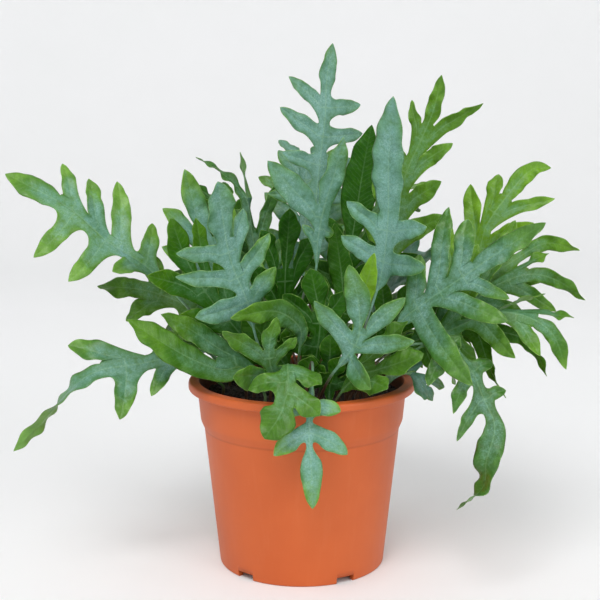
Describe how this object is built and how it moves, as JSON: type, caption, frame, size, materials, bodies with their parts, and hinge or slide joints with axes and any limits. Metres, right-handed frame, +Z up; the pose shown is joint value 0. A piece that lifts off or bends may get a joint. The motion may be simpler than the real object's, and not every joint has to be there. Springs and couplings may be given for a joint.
{
  "type": "potted blue star fern",
  "caption": "Blue star fern: wavy, deeply lobed blue-green fronds on thin stalks rising from a plain tapered terracotta-coloured plastic nursery pot filled with compost.",
  "frame": {"origin": "middle of the pot's underside, on the surface that the pot stands on", "axes": "+Z up along the pot's axis; -Y towards the plant's front, the side with the frond that hangs over the rim; +X to the right as seen from the front"},
  "size_m": [0.4639, 0.3169, 0.4354],
  "materials": {
    "pot": "satin",
    "soil": "matte",
    "leaf_blue": "satin",
    "leaf_green": "satin",
    "leaf_dark": "satin"
  },
  "bodies": {
    "root": {"frond_big_blue": "leaf_blue", "frond_blue_left": "leaf_blue", "frond_dark_back": "leaf_dark", "frond_far_1": "leaf_green", "frond_far_10": "leaf_blue", "frond_far_11": "leaf_green", "frond_far_2": "leaf_blue", "frond_far_3": "leaf_green", "frond_far_4": "leaf_dark", "frond_far_5": "leaf_blue", "frond_far_6": "leaf_blue", "frond_far_7": "leaf_green", "frond_far_8": "leaf_blue", "frond_far_9": "leaf_dark", "frond_far_left": "leaf_blue", "frond_fork": "leaf_blue", "frond_front_fold": "leaf_green", "frond_front_hang": "leaf_blue", "frond_front_inner": "leaf_dark", "frond_front_left": "leaf_green", "frond_inner_front": "leaf_dark", "frond_inner_left": "leaf_dark", "frond_inner_low": "leaf_dark", "frond_inner_right": "leaf_dark", "frond_left_back": "leaf_blue", "frond_left_behind": "leaf_green", "frond_left_broad": "leaf_green", "frond_left_mid": "leaf_dark", "frond_left_twisted": "leaf_blue", "frond_low_1": "leaf_blue", "frond_low_2": "leaf_green", "frond_low_3": "leaf_dark", "frond_low_4": "leaf_green", "frond_low_5": "leaf_dark", "frond_low_6": "leaf_green", "frond_low_7": "leaf_dark", "frond_low_green": "leaf_green", "frond_low_left": "leaf_blue", "frond_middle_dark": "leaf_dark", "frond_middle_low": "leaf_dark", "frond_right_blue": "leaf_blue", "frond_right_curl": "leaf_green", "frond_right_hang": "leaf_blue", "frond_right_inner": "leaf_dark", "frond_right_low": "leaf_green", "frond_right_mid": "leaf_green", "frond_right_under": "leaf_dark", "frond_right_up": "leaf_green", "frond_rim_hang": "leaf_green", "frond_star": "leaf_blue", "frond_top": "leaf_blue", "frond_top_right": "leaf_green", "frond_young": "leaf_green", "pot": "pot", "soil": "soil"}
  },
  "joints": []
}
